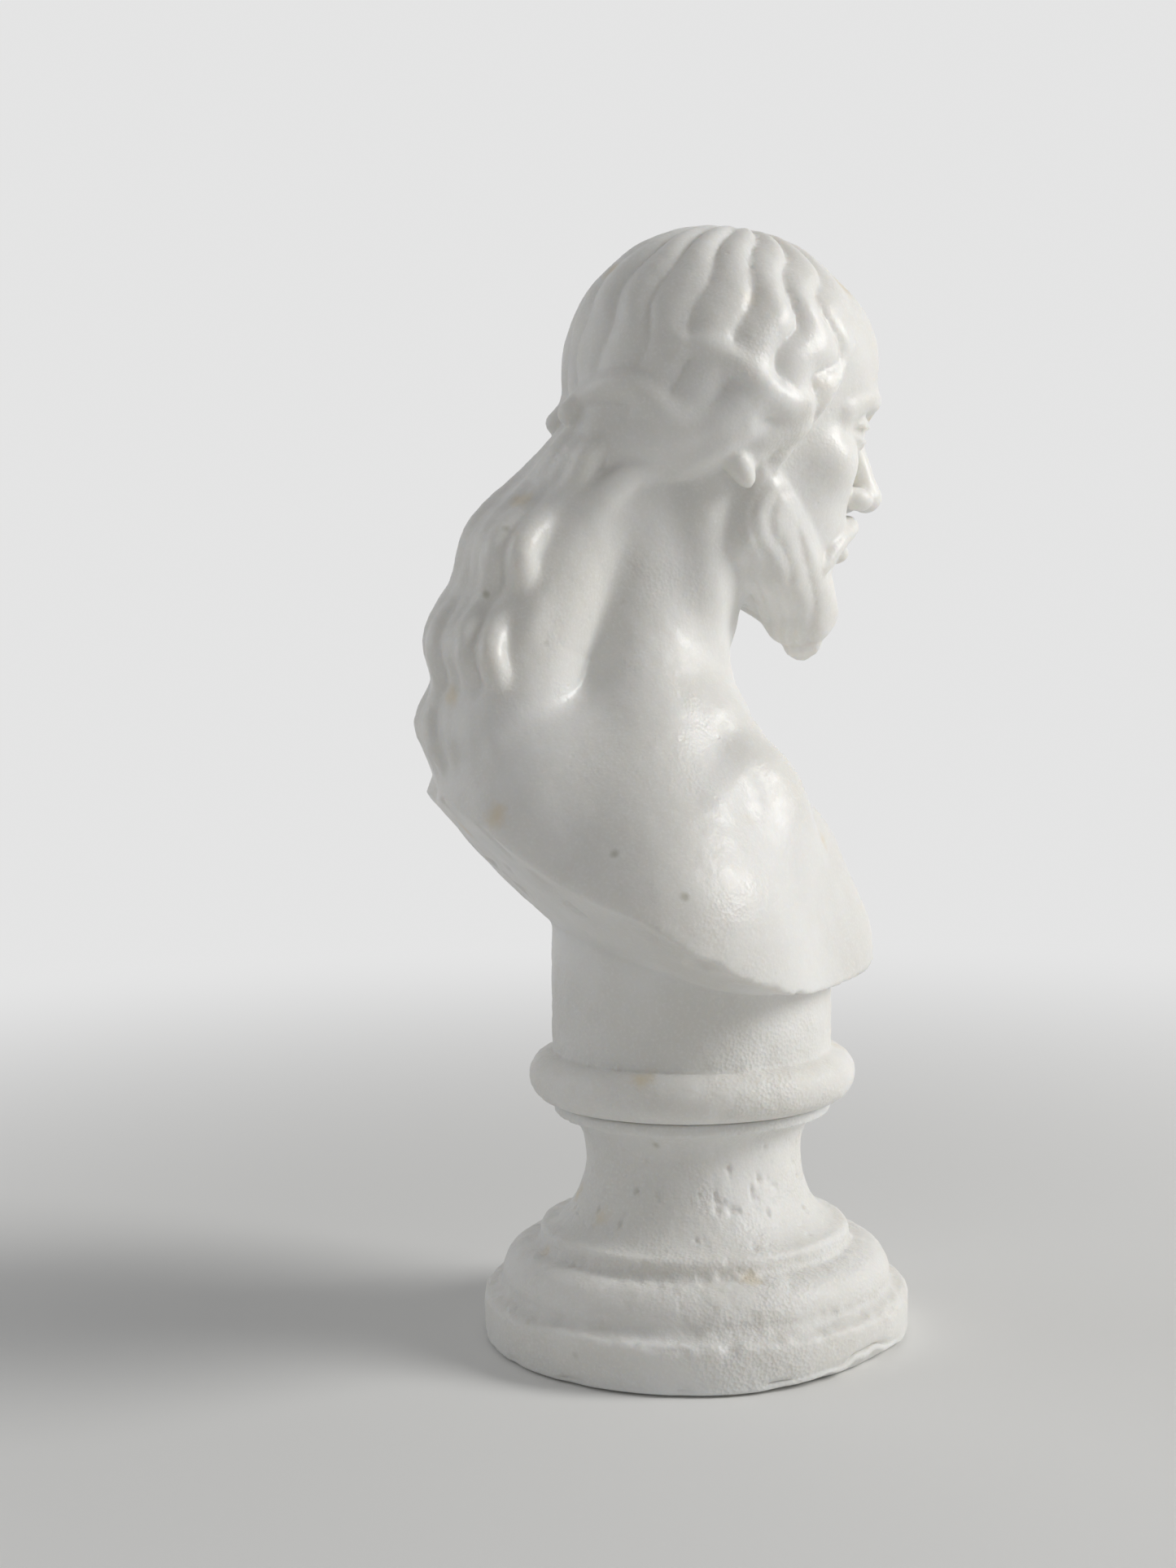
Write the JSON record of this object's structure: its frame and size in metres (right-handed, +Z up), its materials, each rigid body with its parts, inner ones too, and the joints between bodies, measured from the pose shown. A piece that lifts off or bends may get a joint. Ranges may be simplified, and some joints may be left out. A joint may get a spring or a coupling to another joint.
{
  "type": "bust",
  "caption": "Small carved marble bust of a bearded, long-haired head and bare shoulders, bolted on a round turned socle; a free-standing table ornament.",
  "frame": {"origin": "centre of the underside that the bust stands on, on the axis of the turned socle", "axes": "+Z up from the table to the crown, -Y the way the chest faces, +X the figure's left"},
  "size_m": [0.1078, 0.1072, 0.2397],
  "materials": {
    "marble": "satin",
    "steel": "satin",
    "grout": "matte",
    "fibre": "matte",
    "felt": "matte"
  },
  "bodies": {
    "root": {"bust": "marble", "socle": "marble", "rod": "steel", "grout": "grout", "setting_bed": "grout", "fibre_washer": "fibre", "steel_washer": "steel", "nut": "steel", "felt": "felt"}
  },
  "joints": []
}
